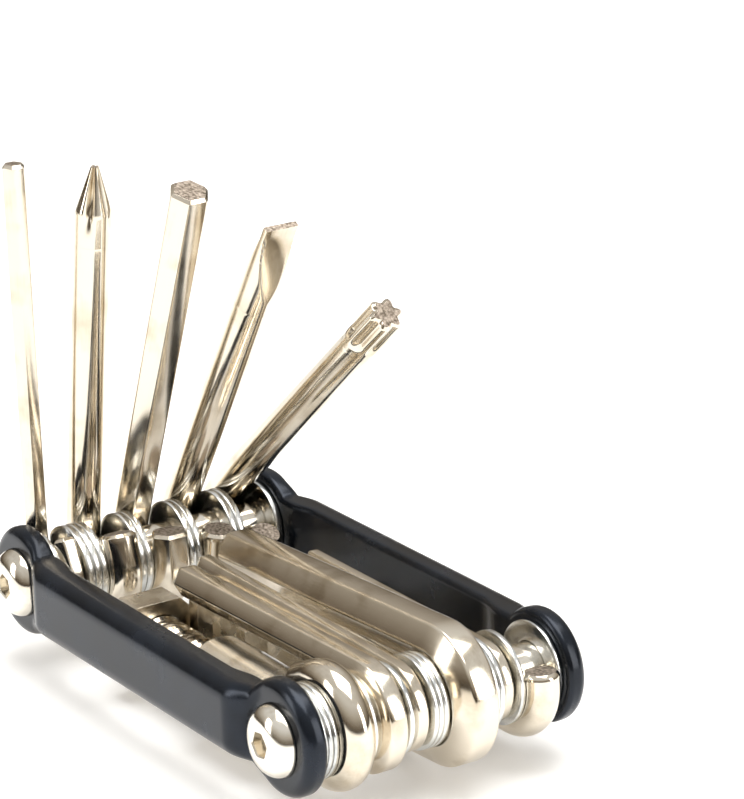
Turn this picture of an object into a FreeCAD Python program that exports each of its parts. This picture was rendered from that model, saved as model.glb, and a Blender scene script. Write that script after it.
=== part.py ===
"""Folding bicycle multi-tool with a chain tool.

Frame: X runs from the driver end (pivot 1) to the key end (pivot 2), Y from side plate A
to side plate B, Z up.  The origin is midway between the two pivot axes and the two plates.
Five drivers and keys stand open at pivot 1; the keys, the rod and the chain tool of pivot 2
lie folded between the plates.  All sizes are millimetres and degrees.
"""
import FreeCAD, Part
import math
import os
import Sketcher

doc = FreeCAD.newDocument("folding_multitool")

# ---------------------------------------------------------------- driving sizes
SIZES = {
    # frame
    "pivot_spacing": 67.0,
    "plate_gap": 36.4,
    "lug_radius": 7.7,
    "lug_wall": 3.0,
    "bar_half_height": 5.2,
    "bar_bulge": 2.3,
    "bar_relief": 0.9,
    "bar_ramp": 5.0,
    "bar_edge_fillet": 1.7,
    # pivots
    "sleeve_radius": 3.5,
    "run_clear": 0.05,
    "washer_width": 2.75,
    "screw_head_radius": 4.9,
    "screw_head_rise": 2.5,
    "screw_shank_radius": 2.5,
    "screw_shank_length": 8.0,
    "screw_socket_flats": 3.0,
    "screw_socket_depth": 1.6,
    # keys and drivers: size across the flats, or rod diameter
    "key2_flats": 2.0,
    "key25_flats": 2.5,
    "key3_flats": 3.0,
    "key4_flats": 4.0,
    "key5_flats": 5.0,
    "key6_flats": 6.0,
    "driver_diameter": 5.0,
    "rod_diameter": 5.0,
    "arm_diameter": 5.0,
    # room left between each shaft's end and the other pivot's axis or loops
    "open_tip_clear": 0.95,
    "key2_room": 26.0,
    "key25_room": 20.0,
    "key4_room": 23.0,
    "key6_room": 17.0,
    "rod_room": 22.0,
    "stub_length": 4.2,
    "hook_wrap": 205.0,
    "rod_wrap": 95.0,
    # tips
    "phillips_cone": 7.0,
    "phillips_flute": 9.0,
    "blade_thickness": 0.9,
    "blade_length": 13.0,
    "star_length": 8.0,
    "star_flute_radius": 0.75,
    # 8 mm adapter on the short leg of the 6 mm key
    "adapter_wall": 1.0,
    "adapter_rim": 0.08,
    "adapter_room": 31.0,
    # chain tool
    "sheet_wall": 1.5,
    "chain_plate_clear": 0.45,
    "hood_room": 0.5,
    "hood_start": 3.5,
    "hood_inset": 14.0,
    "hood_offset": 2.02,
    "foot_inset": 16.5,
    "foot_width": 11.5,
    "foot_clear": 0.45,
    "leg_outer": 2.3,
    "leg_inner": 7.9,
    "spindle_radius": 4.0,
    "spindle_pitch": 1.0,
    "block_length": 5.0,
    "plug_length": 6.0,
    "pin_radius": 1.6,
}

sheet = doc.addObject("Spreadsheet::Sheet", "Sizes")
for row, (alias, value) in enumerate(SIZES.items(), start=1):
    sheet.set("A%d" % row, alias)
    sheet.set("B%d" % row, str(value))
    sheet.setAlias("B%d" % row, alias)
doc.recompute()


def size(alias):
    """Value of one cell of the sheet."""
    return float(sheet.get(alias))


def ref(alias):
    """The same cell, as it is written in an expression."""
    return "Sizes." + alias


# ---------------------------------------------------------------- helpers
def new_body(label):
    body = doc.addObject("PartDesign::Body", label)
    body.Label = label
    return body


def origin_feature(body, role):
    return next(item for item in body.Origin.OriginFeatures if item.Role == role)


def new_sketch(body, name, role, offset=None):
    sketch = body.newObject("Sketcher::SketchObject", name)
    sketch.AttachmentSupport = [(origin_feature(body, role), "")]
    sketch.MapMode = "FlatFace"
    if offset is not None:
        sketch.AttachmentOffset = offset
    return sketch


def pin_point(sketch, geometry, position, name, x_expr, y_expr):
    """Hold one point at signed distances from the sketch's origin."""
    for kind, text, tag in (("DistanceX", x_expr, "x"), ("DistanceY", y_expr, "y")):
        index = sketch.addConstraint(
            Sketcher.Constraint(kind, -1, 1, geometry, position, 1.0))
        sketch.renameConstraint(index, "%s_%s" % (name, tag))
        sketch.setExpression("Constraints.%s_%s" % (name, tag), text)


def evaluate(text):
    """Number an expression gives with the present sheet."""
    for alias in sorted(SIZES, key=len, reverse=True):
        text = text.replace("Sizes." + alias, "(%r)" % size(alias))
    text_value = sheet.evalExpression(text)
    return float(getattr(text_value, "Value", text_value))


def draw_polygon(sketch, points, name="p"):
    """Closed outline whose corners are held by expressions."""
    places = [FreeCAD.Vector(evaluate(x), evaluate(y), 0) for x, y in points]
    first = sketch.GeometryCount
    count = len(places)
    for i in range(count):
        sketch.addGeometry(Part.LineSegment(places[i], places[(i + 1) % count]))
    for i in range(count):
        sketch.addConstraint(
            Sketcher.Constraint("Coincident", first + i, 2, first + (i + 1) % count, 1))
    for i, (x, y) in enumerate(points):
        pin_point(sketch, first + i, 1, "%s%d" % (name, i), x, y)


def draw_circle(sketch, x_expr, y_expr, radius_expr, name="c"):
    centre = FreeCAD.Vector(evaluate(x_expr), evaluate(y_expr), 0)
    index = sketch.addGeometry(
        Part.Circle(centre, FreeCAD.Vector(0, 0, 1), evaluate(radius_expr)))
    hold = sketch.addConstraint(
        Sketcher.Constraint("Radius", index, evaluate(radius_expr)))
    sketch.renameConstraint(hold, name + "_r")
    sketch.setExpression("Constraints.%s_r" % name, radius_expr)
    pin_point(sketch, index, 3, name, x_expr, y_expr)


def draw_hexagon(sketch, centre_y, flats, name="hexagon"):
    """Hexagon with a flat at its top and bottom, centred on the sketch's upright axis."""
    half = "(%s) / 2" % flats
    side = "(%s) / 1.7320508" % flats
    corners = [
        (side, centre_y),
        ("%s / 2" % side, "%s + %s" % (centre_y, half)),
        ("-%s / 2" % side, "%s + %s" % (centre_y, half)),
        ("-%s" % side, centre_y),
        ("-%s / 2" % side, "%s - %s" % (centre_y, half)),
        ("%s / 2" % side, "%s - %s" % (centre_y, half)),
    ]
    draw_polygon(sketch, corners, name)


def feature(body, kind, name, sketch, **properties):
    item = body.newObject("PartDesign::" + kind, name)
    item.Profile = sketch
    for key, value in properties.items():
        if isinstance(value, str) and value.startswith("="):
            item.setExpression(key, value[1:])
        else:
            setattr(item, key, value)
    sketch.Visibility = False
    return item


def changed_volume(body, before, name, grows):
    doc.recompute()
    change = body.Shape.Volume - before
    if (change > 0) != grows or abs(change) < 1e-4:
        raise RuntimeError("%s changed the volume by %.4f" % (name, change))


def rotation_y(degrees):
    return FreeCAD.Rotation(FreeCAD.Vector(0, 1, 0), degrees)


def rotation_z(degrees):
    return FreeCAD.Rotation(FreeCAD.Vector(0, 0, 1), degrees)


HALF = ref("pivot_spacing") + " / 2"
half_spacing = size("pivot_spacing") / 2
half_gap = size("plate_gap") / 2
bore = "(%s + %s)" % (ref("sleeve_radius"), ref("run_clear"))
bore_radius = size("sleeve_radius") + size("run_clear")

# ---------------------------------------------------------------- side plates
def side_plate(label):
    """Side plate B's shape: round lugs at both ends and a thicker bar bulging outwards."""
    body = new_body(label)
    inner = ref("plate_gap") + " / 2"
    face = "(%s + %s)" % (inner, ref("lug_wall"))

    lugs = new_sketch(body, label + "_lugs_sketch", "XZ_Plane")
    draw_circle(lugs, HALF, "0", ref("lug_radius"), "right")
    draw_circle(lugs, "-" + HALF, "0", ref("lug_radius"), "left")
    lugs.setExpression("AttachmentOffset.Base.z", "-(%s)" % inner)
    draw_two = feature(body, "Pad", label + "_lugs", lugs, Length="=" + ref("lug_wall"))
    draw_two.Reversed = True
    draw_two.AllowMultiFace = True

    body_bar = new_sketch(body, label + "_bar_sketch", "XY_Plane")
    ramp = ref("bar_ramp")
    root = "(%s - 2.5)" % HALF
    waist = "(%s - %s - %s)" % (HALF, ref("lug_radius"), "0.5")
    out_start = "(%s - %s * 0.62)" % (HALF, ref("lug_radius"))
    out_end = "(%s - %s * 0.62 - %s * 0.7)" % (HALF, ref("lug_radius"), ramp)
    outer = "(%s + %s)" % (face, ref("bar_bulge"))
    relief = "(%s + %s)" % (inner, ref("bar_relief"))
    draw_polygon(body_bar, [
        (root, inner),
        (root, face),
        (out_start, face + " + 0.9"),
        (out_end, outer),
        ("-" + out_end, outer),
        ("-" + out_start, face + " + 0.9"),
        ("-" + root, face),
        ("-" + root, inner),
        ("-" + waist, inner),
        ("-(%s - %s)" % (waist, ramp), relief),
        ("(%s - %s)" % (waist, ramp), relief),
        (waist, inner),
    ])
    bar = feature(body, "Pad", label + "_bar", body_bar,
                  Length="=" + ref("bar_half_height") + " * 2", Midplane=True)
    doc.recompute()
    long_edges = []
    for number, edge in enumerate(bar.Shape.Edges, start=1):
        box = edge.BoundBox
        flat = box.ZLength < 0.01 and box.YLength < 0.01
        if flat and box.XLength > size("pivot_spacing") * 0.5:
            long_edges.append("Edge%d" % number)
    rounding = body.newObject("PartDesign::Fillet", label + "_rounding")
    rounding.Base = (bar, long_edges)
    rounding.setExpression("Radius", ref("bar_edge_fillet"))
    doc.recompute()

    before = body.Shape.Volume
    seats = new_sketch(body, label + "_seat_sketch", "XZ_Plane")
    for side, sign in (("right", ""), ("left", "-")):
        draw_circle(seats, sign + HALF, "0", ref("screw_head_radius") + " + 0.7", side)
    seats.setExpression("AttachmentOffset.Base.z", "-(%s)" % face)
    feature(body, "Pocket", label + "_seats", seats, Length=20.0, Reversed=False)
    changed_volume(body, before, label + " screw seats", False)

    before = body.Shape.Volume
    holes = new_sketch(body, label + "_hole_sketch", "XZ_Plane")
    for side, sign in (("right", ""), ("left", "-")):
        draw_circle(holes, sign + HALF, "0", bore, side)
    feature(body, "Pocket", label + "_holes", holes, Type="ThroughAll", Midplane=True)
    changed_volume(body, before, label + " pivot holes", False)
    return body


plate_b = side_plate("side_plate_b")
plate_a = side_plate("side_plate_a")
plate_a.Placement = FreeCAD.Placement(FreeCAD.Vector(0, 0, 0), rotation_z(180))

# ---------------------------------------------------------------- pivot hardware
def round_piece(label, radius, length, bore_expr=None):
    """Cylinder along Y, centred on the origin, with an optional bore."""
    body = new_body(label)
    sketch = new_sketch(body, label + "_sketch", "XZ_Plane")
    draw_circle(sketch, "0", "0", radius, "outside")
    if bore_expr:
        draw_circle(sketch, "0", "0", bore_expr, "bore")
    feature(body, "Pad", label + "_pad", sketch, Length="=" + length, Midplane=True)
    return body


sleeve_length = "%s + 2 * %s - 0.2" % (ref("plate_gap"), ref("lug_wall"))
thread_bore = "%s + 0.05" % ref("screw_shank_radius")
sleeve_1 = round_piece("pivot_sleeve_1", ref("sleeve_radius"), sleeve_length, thread_bore)
sleeve_2 = round_piece("pivot_sleeve_2", ref("sleeve_radius"), sleeve_length, thread_bore)
sleeve_1.Placement.Base.x = -half_spacing
sleeve_2.Placement.Base.x = half_spacing


def button_screw():
    """Domed screw with a hexagon socket; its seat is the plane z = 0 and its head points up."""
    body = new_body("button_screw")
    profile = new_sketch(body, "screw_profile", "XZ_Plane")
    head, rise = ref("screw_head_radius"), ref("screw_head_rise")
    shank, depth = ref("screw_shank_radius"), ref("screw_shank_length")
    draw_polygon(profile, [
        ("0", "-" + depth),
        (shank + " - 0.4", "-" + depth),
        (shank, "0.4 - " + depth),
        (shank, "0"),
        (head, "0"),
        (head, rise + " * 0.16"),
        (head + " * 0.93", rise + " * 0.46"),
        (head + " * 0.78", rise + " * 0.74"),
        (head + " * 0.58", rise + " * 0.92"),
        (head + " * 0.40", rise),
        ("0", rise),
    ])
    turned = feature(body, "Revolution", "screw_turned", profile, Angle=360.0)
    turned.ReferenceAxis = (profile, ["V_Axis"])
    doc.recompute()
    before = body.Shape.Volume
    socket = new_sketch(body, "screw_socket_sketch", "XY_Plane")
    draw_hexagon(socket, "0", ref("screw_socket_flats"))
    socket.setExpression("AttachmentOffset.Base.z", "%s - %s" % (rise, ref("screw_socket_depth")))
    feature(body, "Pocket", "screw_socket", socket, Length=5.0, Reversed=True)
    changed_volume(body, before, "screw socket", False)
    return body


def copies(label, shape, placements):
    """One node made of several equal solids."""
    item = doc.addObject("Part::Feature", label)
    item.Label = label
    item.Shape = Part.makeCompound([shape.transformed(place.toMatrix(), True)
                                    for place in placements])
    return item


screw = button_screw()
seat_y = half_gap + size("lug_wall")
out_b = FreeCAD.Rotation(FreeCAD.Vector(1, 0, 0), -90)
out_a = FreeCAD.Rotation(FreeCAD.Vector(1, 0, 0), 90)
screw_places = [FreeCAD.Placement(FreeCAD.Vector(sx * half_spacing, sy * seat_y, 0), turn)
                for sx in (-1, 1) for sy, turn in ((1, out_b), (-1, out_a))]
screws = copies("pivot_screws", screw.Shape, screw_places)


def hexagon_width(flats):
    """Width across the corners."""
    return 2 * size(flats) / math.sqrt(3)


# Order of each stack from plate A to plate B: a number is a group of washers.
STACK_1 = [1, ("hex_key_3", hexagon_width("key3_flats")), 3,
           ("phillips_driver", size("driver_diameter")), 2,
           ("hex_key_5", hexagon_width("key5_flats")), 2,
           ("flat_driver", size("driver_diameter")), 2,
           ("star_driver", size("driver_diameter")), 1]
STACK_2 = [3, ("chain_tool_arm", size("arm_diameter")), 1,
           ("hex_key_4", hexagon_width("key4_flats")), 1,
           ("hex_key_2_5", hexagon_width("key25_flats")), 3,
           ("hex_key_6", hexagon_width("key6_flats")), 2,
           ("hex_key_2", hexagon_width("key2_flats")), 1,
           ("plain_rod", size("rod_diameter")), 1]


def lay_out(stack):
    """Centre of each tool and washer along Y, and the washer thickness that fills the gap."""
    clear = size("run_clear")
    tools = [entry for entry in stack if not isinstance(entry, int)]
    washers = sum(entry for entry in stack if isinstance(entry, int))
    pieces = len(tools) + washers
    free = size("plate_gap") - sum(width for _, width in tools) - (pieces + 1) * clear
    wall = free / washers
    centres, rings = {}, []
    y = -half_gap + clear
    for entry in stack:
        if isinstance(entry, int):
            for _ in range(entry):
                rings.append(y + wall / 2)
                y += wall + clear
        else:
            centres[entry[0]] = y + entry[1] / 2
            y += entry[1] + clear
    return centres, rings, wall


def washer_group(label, x, rings, wall):
    rim = "%s + %s" % (bore, ref("washer_width"))
    blank = round_piece(label + "_blank", rim, "%.6f" % wall, bore)
    doc.recompute()
    places = [FreeCAD.Placement(FreeCAD.Vector(x, y, 0), FreeCAD.Rotation()) for y in rings]
    return copies(label, blank.Shape, places)


tool_y, rings_1, wall_1 = lay_out(STACK_1)
centres_2, rings_2, wall_2 = lay_out(STACK_2)
tool_y.update(centres_2)
washers_1 = washer_group("washers_1", -half_spacing, rings_1, wall_1)
washers_2 = washer_group("washers_2", half_spacing, rings_2, wall_2)
print("washer walls", round(wall_1, 3), round(wall_2, 3))
for name, place in tool_y.items():
    print(name, round(place, 2))


# ---------------------------------------------------------------- folding tools
def hook(label, section, across, reach, wrap, stub):
    """Rod bent round the pivot: shaft along +X above the axis, loop, and a short stub.

    section is hexagon or circle, across its width over the flats or its diameter.
    """
    body = new_body(label)
    level = "(%s + %s / 2)" % (bore, across)

    def draw_section(sketch):
        if section == "hexagon":
            draw_hexagon(sketch, level, across)
        else:
            draw_circle(sketch, "0", level, across + " / 2", "round")

    shaft_sketch = new_sketch(body, label + "_shaft_sketch", "YZ_Plane")
    draw_section(shaft_sketch)
    feature(body, "Pad", label + "_shaft", shaft_sketch, Length="=" + reach)
    doc.recompute()

    before = body.Shape.Volume
    loop_sketch = new_sketch(body, label + "_loop_sketch", "YZ_Plane")
    draw_section(loop_sketch)
    loop = feature(body, "Revolution", label + "_loop", loop_sketch, Angle="=" + wrap)
    loop.ReferenceAxis = (origin_feature(body, "Y_Axis"), [""])
    loop.Reversed = True
    changed_volume(body, before, label + " loop", True)
    if body.Shape.BoundBox.XMin > -1:
        raise RuntimeError(label + " loop is on the wrong side")

    before = body.Shape.Volume
    turn = FreeCAD.Rotation(FreeCAD.Vector(1, 0, 0), -evaluate(wrap))
    stub_sketch = new_sketch(body, label + "_stub_sketch", "YZ_Plane",
                             FreeCAD.Placement(FreeCAD.Vector(0, 0, 0), turn))
    draw_section(stub_sketch)
    feature(body, "Pad", label + "_stub", stub_sketch, Length="=" + stub, Reversed=True)
    changed_volume(body, before, label + " stub", True)
    return body, level


def end_cone(body, level, reach, radius, cut, run):
    """Turn a cone on the end of the shaft: its radius falls by cut over the last run."""
    before = body.Shape.Volume
    sketch = new_sketch(body, body.Label + "_cone_sketch", "XZ_Plane")
    sketch.setExpression("AttachmentOffset.Base.y", level)
    point = "(%s) - (%s)" % (radius, cut)
    shoulder = "(%s) - (%s)" % (reach, run)
    outside = "(%s) + 1" % radius
    draw_polygon(sketch, [
        ("(%s) + 1" % reach, point),
        (reach, point),
        (shoulder, radius),
        (shoulder, outside),
        ("(%s) + 1" % reach, outside),
    ])
    groove = feature(body, "Groove", body.Label + "_cone", sketch, Angle=360.0)
    groove.ReferenceAxis = (sketch, ["H_Axis"])
    changed_volume(body, before, body.Label + " end cone", False)


def hex_key(label, flats, reach, stub=ref("stub_length")):
    body, level = hook(label, "hexagon", ref(flats), reach, ref("hook_wrap"), stub)
    corner = "%s / 1.7320508" % ref(flats)
    end_cone(body, level, reach, corner, ref(flats) + " * 0.16", ref(flats) + " * 0.12")
    return body


def reach_leaving(room):
    """Shaft that stops the given distance short of the other pivot's axis."""
    return "(%s - %s)" % (ref("pivot_spacing"), ref(room))


DRIVER = ref("driver_diameter")
OPEN = "(%s - %s - %s - %s)" % (ref("pivot_spacing"), bore, DRIVER, ref("open_tip_clear"))
KEY_6_REACH = reach_leaving("key6_room")
ADAPTER_END = reach_leaving("adapter_room")
ADAPTER_START = "(%s / 3)" % ADAPTER_END
ADAPTER_STEP = "(%s * 25 / 36)" % ADAPTER_END
SHORT_LEG = "(%s * 22 / 36)" % ADAPTER_END
ADAPTER_FLATS = "(%s + 2 * %s)" % (ref("key6_flats"), ref("adapter_wall"))

key_3 = hex_key("hex_key_3", "key3_flats", OPEN)
key_5 = hex_key("hex_key_5", "key5_flats", OPEN)
key_4 = hex_key("hex_key_4", "key4_flats", reach_leaving("key4_room"))
key_25 = hex_key("hex_key_2_5", "key25_flats", reach_leaving("key25_room"))
key_2 = hex_key("hex_key_2", "key2_flats", reach_leaving("key2_room"))

# Cross-head driver: a pointed end with four V flutes.
phillips, level = hook("phillips_driver", "circle", DRIVER, OPEN, ref("hook_wrap"),
                       ref("stub_length"))
end_cone(phillips, level, OPEN, DRIVER + " / 2", DRIVER + " / 2 - 0.7", ref("phillips_cone"))
before = phillips.Shape.Volume
flute_sketch = new_sketch(phillips, "flute_sketch", "YZ_Plane")
flute_sketch.setExpression("AttachmentOffset.Base.z", OPEN)
flute_sketch.setExpression("AttachmentOffset.Base.y", level)
draw_polygon(flute_sketch, [("0.45", "0.45"), ("0.55", "3.2"), ("3.2", "0.55")])
flute = feature(phillips, "Pocket", "flute", flute_sketch, Length="=" + ref("phillips_flute"))
changed_volume(phillips, before, "phillips flute", False)
axis_sketch = new_sketch(phillips, "flute_axis", "YZ_Plane")
axis_sketch.setExpression("AttachmentOffset.Base.y", level)
flutes = phillips.newObject("PartDesign::PolarPattern", "flutes")
flutes.Originals = [flute]
flutes.Axis = (axis_sketch, ["N_Axis"])
flutes.Angle = 360.0
flutes.Occurrences = 4
phillips.Tip = flutes
doc.recompute()

# Slotted driver: the rod ground to a blade on two sides.
flat_driver, level = hook("flat_driver", "circle", DRIVER, OPEN, ref("hook_wrap"),
                          ref("stub_length"))
before = flat_driver.Shape.Volume
grind = new_sketch(flat_driver, "grind_sketch", "XZ_Plane")
grind.setExpression("AttachmentOffset.Base.y", level)
half_blade = "%s / 2" % ref("blade_thickness")
for side, sign in (("top", ""), ("bottom", "-")):
    draw_polygon(grind, [
        (OPEN + " + 1", sign + half_blade),
        (OPEN + " - 1", sign + half_blade),
        ("%s - %s * 0.55" % (OPEN, ref("blade_length")), sign + "(%s + 0.75)" % half_blade),
        ("%s - %s" % (OPEN, ref("blade_length")), sign + "(%s / 2)" % DRIVER),
        ("%s - %s" % (OPEN, ref("blade_length")), sign + "(%s / 2 + 1)" % DRIVER),
        (OPEN + " + 1", sign + "(%s / 2 + 1)" % DRIVER),
    ], side)
ground = feature(flat_driver, "Pocket", "ground_faces", grind, Type="ThroughAll", Midplane=True)
ground.AllowMultiFace = True
changed_volume(flat_driver, before, "blade", False)

# Six-lobed driver: six round flutes along a slightly chamfered end.
star, level = hook("star_driver", "circle", DRIVER, OPEN, ref("hook_wrap"), ref("stub_length"))
end_cone(star, level, OPEN, DRIVER + " / 2", "0.5", "0.5")
before = star.Shape.Volume
lobe_sketch = new_sketch(star, "lobe_sketch", "YZ_Plane")
lobe_sketch.setExpression("AttachmentOffset.Base.z", OPEN)
lobe_sketch.setExpression("AttachmentOffset.Base.y", level)
draw_circle(lobe_sketch, "0", DRIVER + " / 2", ref("star_flute_radius"), "lobe")
lobe = feature(star, "Pocket", "lobe", lobe_sketch, Length="=" + ref("star_length"))
changed_volume(star, before, "star flute", False)
star_axis = new_sketch(star, "star_axis", "YZ_Plane")
star_axis.setExpression("AttachmentOffset.Base.y", level)
lobes = star.newObject("PartDesign::PolarPattern", "lobes")
lobes.Originals = [lobe]
lobes.Axis = (star_axis, ["N_Axis"])
lobes.Angle = 360.0
lobes.Occurrences = 6
star.Tip = lobes
doc.recompute()

# 6 mm key: its short leg runs on under the pivot and carries the 8 mm adapter.
key_6, level_6 = hook("hex_key_6", "hexagon", ref("key6_flats"), KEY_6_REACH, "180",
                      SHORT_LEG)
end_cone(key_6, level_6, KEY_6_REACH, "%s / 1.7320508" % ref("key6_flats"),
         ref("key6_flats") + " * 0.16", ref("key6_flats") + " * 0.12")


def key_adapter():
    """Sleeve pushed on the short leg: round barrel, stepped down to an 8 mm hexagon."""
    body = new_body("hex_adapter_8")
    drop = "-%s" % level_6
    barrel = new_sketch(body, "adapter_barrel_sketch", "YZ_Plane")
    draw_circle(barrel, "0", drop, "%s / 1.7320508 + %s" % (ADAPTER_FLATS, ref("adapter_rim")),
                "barrel")
    barrel.setExpression("AttachmentOffset.Base.z", ADAPTER_START)
    feature(body, "Pad", "adapter_barrel", barrel,
            Length="=%s - %s" % (ADAPTER_STEP, ADAPTER_START))
    nose = new_sketch(body, "adapter_nose_sketch", "YZ_Plane")
    draw_hexagon(nose, drop, ADAPTER_FLATS)
    nose.setExpression("AttachmentOffset.Base.z", ADAPTER_START)
    feature(body, "Pad", "adapter_nose", nose,
            Length="=%s - %s" % (ADAPTER_END, ADAPTER_START))
    doc.recompute()
    corner = "%s / 1.7320508" % ADAPTER_FLATS
    end_cone(body, drop, ADAPTER_END, corner, "0.9", "0.9")
    before = body.Shape.Volume
    socket = new_sketch(body, "adapter_socket_sketch", "YZ_Plane")
    draw_hexagon(socket, drop, ref("key6_flats") + " + 2 * 0.02")
    socket.setExpression("AttachmentOffset.Base.z", ADAPTER_START)
    feature(body, "Pocket", "adapter_socket", socket, Reversed=True,
            Length="=%s - %s + 0.5" % (SHORT_LEG, ADAPTER_START))
    changed_volume(body, before, "adapter socket", False)
    return body


adapter = key_adapter()

# Plain round rod, folded on the underside: a short quarter hook.
ROD_REACH = reach_leaving("rod_room")
rod, level = hook("plain_rod", "circle", ref("rod_diameter"), ROD_REACH,
                  ref("rod_wrap"), "1.6")
end_cone(rod, level, ROD_REACH, ref("rod_diameter") + " / 2", "0.5", "0.5")

# ---------------------------------------------------------------- chain tool
HOOD_END = "(%s - %s)" % (HALF, ref("hood_inset"))
HOOD_RADIUS = "(%s + %s + %s)" % (ref("spindle_radius"), ref("hood_room"), ref("sheet_wall"))
FOOT = "(%s - %s)" % (HALF, ref("foot_inset"))
SPINDLE_TIP = "(%s + 0.1)" % ref("hood_start")
PIN_LENGTH = "((%s - %s - %s) * 0.45)" % (HOOD_END, ref("plug_length"), SPINDLE_TIP)
CRADLE = "(0.6 + %s - %s)" % (ref("block_length"), FOOT)
TOOTH_STEP = "((%s - 0.4 - %s - 2.2) / 2)" % (ref("hood_start"), CRADLE)
arm_reach = "(%s - %s + 5)" % (HALF, HOOD_END)
arm, level_arm = hook("chain_tool_arm", "circle", ref("arm_diameter"), arm_reach,
                      ref("hook_wrap"), ref("stub_length"))

PLATE_DROP = "(%s + %s + %s)" % (bore, ref("arm_diameter"), ref("chain_plate_clear"))
PLATE_TOP = "-" + PLATE_DROP
PLATE_BOTTOM = "-(%s + %s)" % (PLATE_DROP, ref("sheet_wall"))
AXIS_Y = "(%.6f + %s)" % (tool_y["chain_tool_arm"], ref("hood_offset"))
AXIS_Z = "(%s + %s)" % (PLATE_BOTTOM, HOOD_RADIUS)
LEG_OUTER = "(%s - %s)" % (AXIS_Y, ref("leg_outer"))
LEG_INNER = "(%s + %s)" % (AXIS_Y, ref("leg_inner"))
FOOT_REACH = "(%.6f - %s / 2 - %s)" % (tool_y["plain_rod"], ref("rod_diameter"),
                                       ref("foot_clear"))


def chain_frame():
    """Steel sheet: a flat L with three windows, rolled into a round hood at one end."""
    body = new_body("chain_tool_frame")
    plate = new_sketch(body, "frame_plate_sketch", "XY_Plane")
    foot_inner = "(%s - %s)" % (ref("foot_width"), FOOT)
    draw_polygon(plate, [
        ("-" + FOOT, LEG_OUTER + " - 1.4"),
        ("4 - " + FOOT, LEG_OUTER + " - 1.4"),
        ("4 - " + FOOT, LEG_OUTER),
        (ref("hood_start"), LEG_OUTER),
        (ref("hood_start"), AXIS_Y),
        (HOOD_END + " - 3", AXIS_Y),
        (HOOD_END + " - 3", LEG_INNER),
        (foot_inner, LEG_INNER),
        (foot_inner, FOOT_REACH),
        ("2 - " + FOOT, FOOT_REACH),
        ("-" + FOOT, FOOT_REACH + " - 4"),
    ])
    plate.setExpression("AttachmentOffset.Base.z", PLATE_BOTTOM)
    feature(body, "Pad", "frame_plate", plate, Length="=" + ref("sheet_wall"))
    doc.recompute()

    before = body.Shape.Volume
    hood = new_sketch(body, "frame_hood_sketch", "YZ_Plane")
    draw_circle(hood, AXIS_Y, AXIS_Z, HOOD_RADIUS, "outside")
    draw_circle(hood, AXIS_Y, AXIS_Z, "%s - %s" % (HOOD_RADIUS, ref("sheet_wall")),
                "inside")
    hood.setExpression("AttachmentOffset.Base.z", ref("hood_start"))
    feature(body, "Pad", "frame_hood", hood,
            Length="=%s - %s" % (HOOD_END, ref("hood_start")))
    changed_volume(body, before, "hood", True)

    before = body.Shape.Volume
    windows = new_sketch(body, "frame_window_sketch", "XY_Plane")
    left, right = LEG_OUTER + " + 1.6", LEG_INNER + " - 4.6"
    for number, share in enumerate((0.26, 0.34, 0.34)):
        middle = "%s + 1.4 + %d * (%s + 0.3)" % (CRADLE, number, TOOTH_STEP)
        low = "%s - %s * %.2f" % (middle, TOOTH_STEP, share)
        high = "%s + %s * %.2f" % (middle, TOOTH_STEP, share)
        draw_polygon(windows, [(low, left), (high, left), (high, right), (low, right)],
                     "window%d_" % number)
    windows.setExpression("AttachmentOffset.Base.z", PLATE_TOP + " + 0.3")
    cut = feature(body, "Pocket", "frame_windows", windows, Length=3.0)
    cut.AllowMultiFace = True
    changed_volume(body, before, "windows", False)

    before = body.Shape.Volume
    hole = new_sketch(body, "frame_hole_sketch", "XY_Plane")
    draw_circle(hole, foot_inner + " - 2.6", FOOT_REACH + " - 2.6", "1.1", "hole")
    hole.setExpression("AttachmentOffset.Base.z", PLATE_TOP + " + 0.3")
    feature(body, "Pocket", "frame_hole", hole, Length=3.0)
    changed_volume(body, before, "foot hole", False)

    before = body.Shape.Volume
    notch = new_sketch(body, "frame_notch_sketch", "YZ_Plane")
    draw_circle(notch, "%r" % tool_y["chain_tool_arm"], "-" + level_arm,
                ref("arm_diameter") + " / 2 + 0.01", "notch")
    notch.setExpression("AttachmentOffset.Base.z", HOOD_END + " - 5.05")
    feature(body, "Pocket", "frame_notch", notch, Length=10.0, Reversed=True)
    changed_volume(body, before, "arm notch", False)
    return body


def chain_block():
    """Tapped end block that the spindle screws through, with chamfered upper corners."""
    body = new_body("chain_tool_block")
    sketch = new_sketch(body, "block_sketch", "YZ_Plane")
    base = "(%s + 0.02)" % PLATE_TOP
    top = "(%s + %s + 1.9)" % (AXIS_Z, ref("spindle_radius"))
    wide = "(%s + 1.3)" % ref("spindle_radius")
    draw_polygon(sketch, [
        ("%s - %s" % (AXIS_Y, wide), base),
        ("%s + %s" % (AXIS_Y, wide), base),
        ("%s + %s" % (AXIS_Y, wide), top + " - 2"),
        ("%s + %s - 2" % (AXIS_Y, wide), top),
        ("%s - %s + 2" % (AXIS_Y, wide), top),
        ("%s - %s" % (AXIS_Y, wide), top + " - 2"),
    ])
    draw_circle(sketch, AXIS_Y, AXIS_Z, ref("spindle_radius") + " + 0.06", "thread")
    sketch.setExpression("AttachmentOffset.Base.z", "0.1 - " + FOOT)
    feature(body, "Pad", "block_pad", sketch, Length="=" + ref("block_length"))
    return body


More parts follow.
